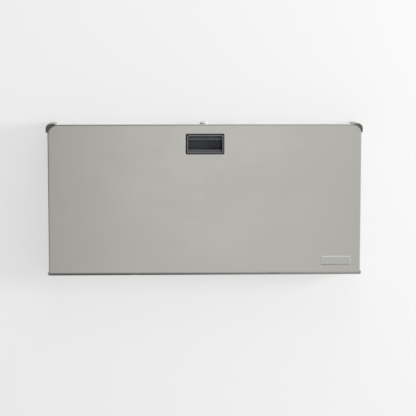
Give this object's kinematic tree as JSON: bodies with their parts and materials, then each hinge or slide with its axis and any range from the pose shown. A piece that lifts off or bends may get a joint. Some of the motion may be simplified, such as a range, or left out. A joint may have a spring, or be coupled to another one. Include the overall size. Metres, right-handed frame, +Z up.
{
  "type": "baby changing station",
  "caption": "Wall-mounted horizontal baby changing station: stainless fold-down bed with moulded tray, strap, gas struts, recessed pull and a steel case with a locked liner hatch.",
  "frame": {"origin": "middle of the back plate's rear face, on the wall plane", "axes": "+Y into the wall, -Y out of the front panel, +X to the right for someone facing the station, +Z up"},
  "size_m": [0.904, 0.1048, 0.4358],
  "materials": {
    "panel_steel": "satin brushed stainless, grain across the panel",
    "case_steel": "satin brushed stainless",
    "corner_plastic": "moulded, fine texture",
    "handle_plastic": "moulded, fine texture",
    "plate_metal": "satin anodised, bare",
    "tray_plastic": "moulded polyethylene, fine texture",
    "bin_plastic": "moulded polyethylene",
    "hook_plastic": "moulded nylon",
    "zinc_steel": "bright zinc plate",
    "buckle_metal": "die-cast zinc, tumbled",
    "strut_paint": "semi-gloss black paint",
    "bright_chrome": "hard chrome",
    "lock_paint": "dark grey paint",
    "bumper_rubber": "matt rubber",
    "strap_webbing": "flat woven nylon webbing"
  },
  "bodies": {
    "case": {"back_plate": "case_steel", "top_panel": "case_steel", "bottom_panel": "case_steel", "hinge_rod": "zinc_steel", "liner_bin": "bin_plastic", "hatch_frame": "case_steel", "bin_screw_1": "zinc_steel", "bin_screw_2": "zinc_steel", "bin_screw_3": "zinc_steel", "bin_screw_4": "zinc_steel", "side_panel_left": "case_steel", "side_panel_right": "case_steel", "corner_cap_left": "corner_plastic", "corner_cap_right": "corner_plastic", "hinge_bracket_left": "case_steel", "hinge_bracket_right": "case_steel", "hinge_end_cap_left": "corner_plastic", "hinge_end_cap_right": "corner_plastic", "strut_upper_bracket_left": "zinc_steel", "strut_upper_bracket_right": "zinc_steel", "hatch_hinge_left": "case_steel", "hatch_hinge_right": "case_steel", "hatch_pin_left": "zinc_steel", "hatch_pin_right": "zinc_steel", "bag_hook_left": "hook_plastic", "bag_hook_right": "hook_plastic", "bumper_left": "bumper_rubber", "bumper_right": "bumper_rubber"},
    "bed": {"front_panel": "panel_steel", "bed_tray": "tray_plastic", "handle_cup": "handle_plastic", "name_plate": "plate_metal", "strap_upper": "strap_webbing", "strap_lower": "strap_webbing", "strap_anchor_upper": "hook_plastic", "strap_anchor_lower": "hook_plastic", "buckle_frame": "buckle_metal", "buckle_pin": "bright_chrome", "tray_screw_left_1": "zinc_steel", "tray_screw_left_2": "zinc_steel", "tray_screw_left_3": "zinc_steel", "tray_screw_right_1": "zinc_steel", "tray_screw_right_2": "zinc_steel", "tray_screw_right_3": "zinc_steel", "stiffener_left": "case_steel", "stiffener_right": "case_steel", "strut_lower_bracket_left": "zinc_steel", "strut_lower_bracket_right": "zinc_steel"},
    "buckle_lever": {"buckle_cam": "buckle_metal"},
    "strut_tube_left": {"strut_cylinder_left": "strut_paint"},
    "strut_tube_right": {"strut_cylinder_right": "strut_paint"},
    "strut_shaft_left": {"strut_rod_left": "bright_chrome"},
    "strut_shaft_right": {"strut_rod_right": "bright_chrome"},
    "hatch": {"liner_hatch": "case_steel", "lock_barrel": "lock_paint", "lock_nut": "zinc_steel"},
    "lock": {"lock_plug": "zinc_steel", "lock_cam": "zinc_steel"}
  },
  "joints": [
    {"name": "bed_fold", "type": "hinge", "parent": "case", "child": "bed", "pos_m": [0, -0.0965, -0.21], "axis": [1, 0, 0], "range_deg": [0, 90]},
    {"name": "buckle_press", "type": "hinge", "parent": "bed", "child": "buckle_lever", "pos_m": [0, -0.0722, -0.01475], "axis": [-1, 0, 0], "range_deg": [0, 40], "stiffness_Nm_per_rad": 0.05, "springref_deg": -17.19},
    {"name": "hatch_lift", "type": "hinge", "parent": "case", "child": "hatch", "pos_m": [0, -0.0041, 0.2132], "axis": [-1, 0, 0], "range_deg": [0, 85]},
    {"name": "lock_turn", "type": "hinge", "parent": "hatch", "child": "lock", "pos_m": [0, -0.02625, 0.2155], "axis": [0, 0, -1], "range_deg": [0, 90]},
    {"name": "strut_swing_left", "type": "hinge", "parent": "case", "child": "strut_tube_left", "pos_m": [-0.4335, -0.0185, 0.17], "axis": [1, 0, 0], "range_deg": [-13.7, 1]},
    {"name": "strut_stroke_left", "type": "slide", "parent": "strut_tube_left", "child": "strut_shaft_left", "axis": [0, -0.1322, -0.9912], "range_m": [-0.002, 0.038]},
    {"name": "strut_swing_right", "type": "hinge", "parent": "case", "child": "strut_tube_right", "pos_m": [0.4335, -0.0185, 0.17], "axis": [1, 0, 0], "range_deg": [-13.7, 1]},
    {"name": "strut_stroke_right", "type": "slide", "parent": "strut_tube_right", "child": "strut_shaft_right", "axis": [0, -0.1322, -0.9912], "range_m": [-0.002, 0.038]}
  ],
  "couplings": [
    {"joint": "strut_swing_left", "follows": "bed_fold", "ratio": -0.1412},
    {"joint": "strut_stroke_left", "follows": "bed_fold", "m_per_rad": 0.02292},
    {"joint": "strut_swing_right", "follows": "bed_fold", "ratio": -0.1412},
    {"joint": "strut_stroke_right", "follows": "bed_fold", "m_per_rad": 0.02292}
  ]
}
